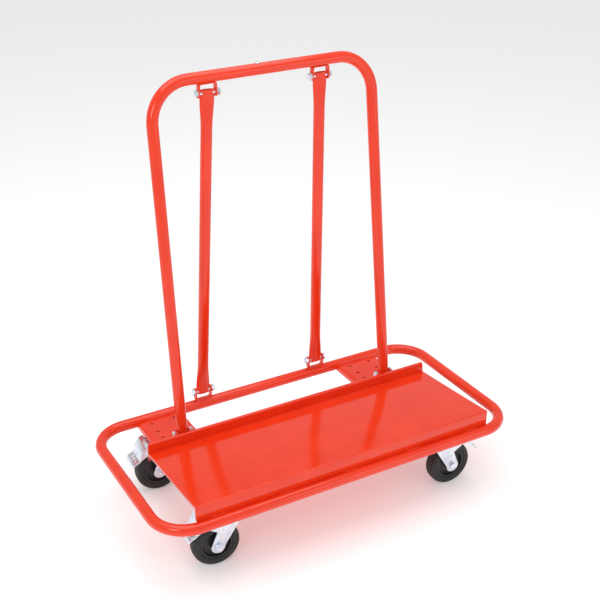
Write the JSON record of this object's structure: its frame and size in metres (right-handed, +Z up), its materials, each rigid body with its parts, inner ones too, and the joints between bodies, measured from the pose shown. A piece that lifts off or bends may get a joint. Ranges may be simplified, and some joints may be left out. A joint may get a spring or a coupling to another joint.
{
  "type": "panel cart",
  "caption": "Steel panel cart: bent-tube bumper base on swivel casters, sloped folded deck with a back lip, and a braced inverted-U mast, for carrying drywall sheets.",
  "frame": {"origin": "on the floor under the middle of the bumper ring", "axes": "+X along the cart, -Y towards the loading side, +Z up"},
  "size_m": [1.07, 0.525, 1.1458],
  "materials": {
    "paint": "glossy red-orange powder coat",
    "zinc": "bright zinc plating",
    "rubber": "matt black rubber",
    "hub": "satin black moulded hub"
  },
  "bodies": {
    "root": {"bumper_ring": "paint", "cross_channel_left": "paint", "cross_channel_right": "paint", "deck_tray": "paint", "mast_foot_bolt_left": "zinc", "mast_foot_bolt_right": "zinc", "mast_foot_bracket_left": "paint", "mast_foot_bracket_right": "paint", "mast_left": "paint", "mast_right": "paint", "mast_sleeve": "paint", "sleeve_screw": "zinc", "strut_foot_bolt_left": "zinc", "strut_foot_bolt_right": "zinc", "strut_foot_bracket_left": "paint", "strut_foot_bracket_right": "paint", "strut_left": "paint", "strut_right": "paint", "strut_top_bolt_left": "zinc", "strut_top_bolt_right": "zinc", "strut_top_bracket_left": "paint", "strut_top_bracket_right": "paint", "caster_front_left_plate": "zinc", "caster_front_right_plate": "zinc", "caster_rear_left_plate": "zinc", "caster_rear_right_plate": "zinc", "caster_front_left_kingpin": "zinc", "caster_front_right_kingpin": "zinc", "caster_rear_left_kingpin": "zinc", "caster_rear_right_kingpin": "zinc"},
    "swivel_front_left": {"caster_front_left_ball_race": "zinc", "caster_front_left_fork": "zinc", "caster_front_left_axle_bolt": "zinc", "caster_front_left_brake_pin": "zinc"},
    "wheel_front_left": {"caster_front_left_tyre": "rubber", "caster_front_left_hub": "hub"},
    "brake_front_left": {"caster_front_left_brake_lever": "zinc"},
    "swivel_front_right": {"caster_front_right_ball_race": "zinc", "caster_front_right_fork": "zinc", "caster_front_right_axle_bolt": "zinc", "caster_front_right_brake_pin": "zinc"},
    "wheel_front_right": {"caster_front_right_tyre": "rubber", "caster_front_right_hub": "hub"},
    "brake_front_right": {"caster_front_right_brake_lever": "zinc"},
    "swivel_rear_left": {"caster_rear_left_ball_race": "zinc", "caster_rear_left_fork": "zinc", "caster_rear_left_axle_bolt": "zinc", "caster_rear_left_brake_pin": "zinc"},
    "wheel_rear_left": {"caster_rear_left_tyre": "rubber", "caster_rear_left_hub": "hub"},
    "brake_rear_left": {"caster_rear_left_brake_lever": "zinc"},
    "swivel_rear_right": {"caster_rear_right_ball_race": "zinc", "caster_rear_right_fork": "zinc", "caster_rear_right_axle_bolt": "zinc", "caster_rear_right_brake_pin": "zinc"},
    "wheel_rear_right": {"caster_rear_right_tyre": "rubber", "caster_rear_right_hub": "hub"},
    "brake_rear_right": {"caster_rear_right_brake_lever": "zinc"}
  },
  "joints": [
    {"name": "swivel_front_left", "type": "hinge", "parent": "root", "child": "swivel_front_left", "pos_m": [-0.3225, -0.18, 0.16], "axis": [0, 0, 1], "continuous": true},
    {"name": "wheel_front_left", "type": "hinge", "parent": "swivel_front_left", "child": "wheel_front_left", "pos_m": [-0.36035, -0.17669, 0.0635], "axis": [-0.0872, -0.9962, 0], "continuous": true},
    {"name": "brake_front_left", "type": "hinge", "parent": "swivel_front_left", "child": "brake_front_left", "pos_m": [-0.39423, -0.17372, 0.138], "axis": [-0.0872, -0.9962, 0], "range_deg": [0, 7]},
    {"name": "swivel_front_right", "type": "hinge", "parent": "root", "child": "swivel_front_right", "pos_m": [0.3225, -0.18, 0.16], "axis": [0, 0, 1], "continuous": true},
    {"name": "wheel_front_right", "type": "hinge", "parent": "swivel_front_right", "child": "wheel_front_right", "pos_m": [0.36049, -0.18066, 0.0635], "axis": [0.0175, 0.9998, 0], "continuous": true},
    {"name": "brake_front_right", "type": "hinge", "parent": "swivel_front_right", "child": "brake_front_right", "pos_m": [0.39449, -0.18126, 0.138], "axis": [0.0175, 0.9998, 0], "range_deg": [0, 7]},
    {"name": "swivel_rear_left", "type": "hinge", "parent": "root", "child": "swivel_rear_left", "pos_m": [-0.3225, 0.18, 0.16], "axis": [0, 0, 1], "continuous": true},
    {"name": "wheel_rear_left", "type": "hinge", "parent": "swivel_rear_left", "child": "wheel_rear_left", "pos_m": [-0.36045, 0.18199, 0.0635], "axis": [-0.0523, -0.9986, 0], "continuous": true},
    {"name": "brake_rear_left", "type": "hinge", "parent": "swivel_rear_left", "child": "brake_rear_left", "pos_m": [-0.3944, 0.18377, 0.138], "axis": [-0.0523, -0.9986, 0], "range_deg": [0, 7]},
    {"name": "swivel_rear_right", "type": "hinge", "parent": "root", "child": "swivel_rear_right", "pos_m": [0.3225, 0.18, 0.16], "axis": [0, 0, 1], "continuous": true},
    {"name": "wheel_rear_right", "type": "hinge", "parent": "swivel_rear_right", "child": "wheel_rear_right", "pos_m": [0.36041, 0.18265, 0.0635], "axis": [-0.0698, 0.9976, 0], "continuous": true},
    {"name": "brake_rear_right", "type": "hinge", "parent": "swivel_rear_right", "child": "brake_rear_right", "pos_m": [0.39432, 0.18502, 0.138], "axis": [-0.0698, 0.9976, 0], "range_deg": [0, 7]}
  ]
}
